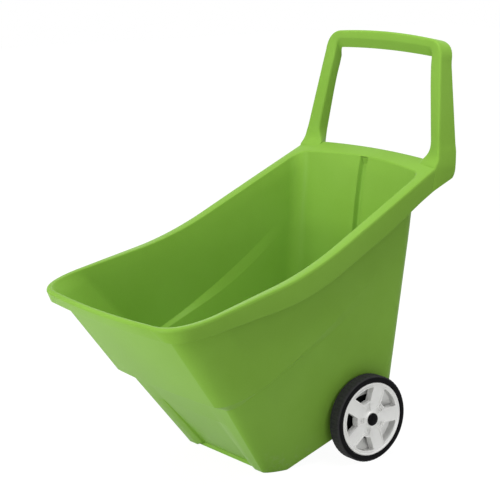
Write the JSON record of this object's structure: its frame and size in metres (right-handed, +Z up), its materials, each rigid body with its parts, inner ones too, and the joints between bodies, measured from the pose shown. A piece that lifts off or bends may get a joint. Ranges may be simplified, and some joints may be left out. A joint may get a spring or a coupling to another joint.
{
  "type": "garden cart",
  "caption": "Moulded garden cart: a deep tub with a sloping rim and pouring lip, a fixed loop handle behind it, and spoked wheels on a cross axle.",
  "frame": {"origin": "on the ground, under the middle of the cart's overall box", "axes": "+X across the cart along the axle, +Y from the pouring lip towards the handle, +Z up"},
  "size_m": [0.505, 0.7576, 0.8557],
  "materials": {
    "tub_plastic": "satin moulded plastic, grass green",
    "axle_steel": "zinc plated bar",
    "wheel_silver": "silver grey moulded plastic",
    "tyre_rubber": "black, with a ribbed tread",
    "cap_black": "black moulded plastic",
    "washer_zinc": "zinc plated"
  },
  "bodies": {
    "cart": {"tub": "tub_plastic", "axle": "axle_steel", "lock_washer_left": "washer_zinc", "lock_washer_right": "washer_zinc", "spacer_washer_left": "washer_zinc", "spacer_washer_right": "washer_zinc"},
    "wheel_left": {"wheel_rim_left": "wheel_silver", "tyre_left": "tyre_rubber", "hub_cap_left": "cap_black"},
    "wheel_right": {"wheel_rim_right": "wheel_silver", "tyre_right": "tyre_rubber", "hub_cap_right": "cap_black"}
  },
  "joints": [
    {"name": "wheel_left_spin", "type": "hinge", "parent": "cart", "child": "wheel_left", "pos_m": [-0.19, 0.15117, 0.09], "axis": [1, 0, 0], "continuous": true},
    {"name": "wheel_right_spin", "type": "hinge", "parent": "cart", "child": "wheel_right", "pos_m": [0.19, 0.15117, 0.09], "axis": [1, 0, 0], "continuous": true}
  ]
}
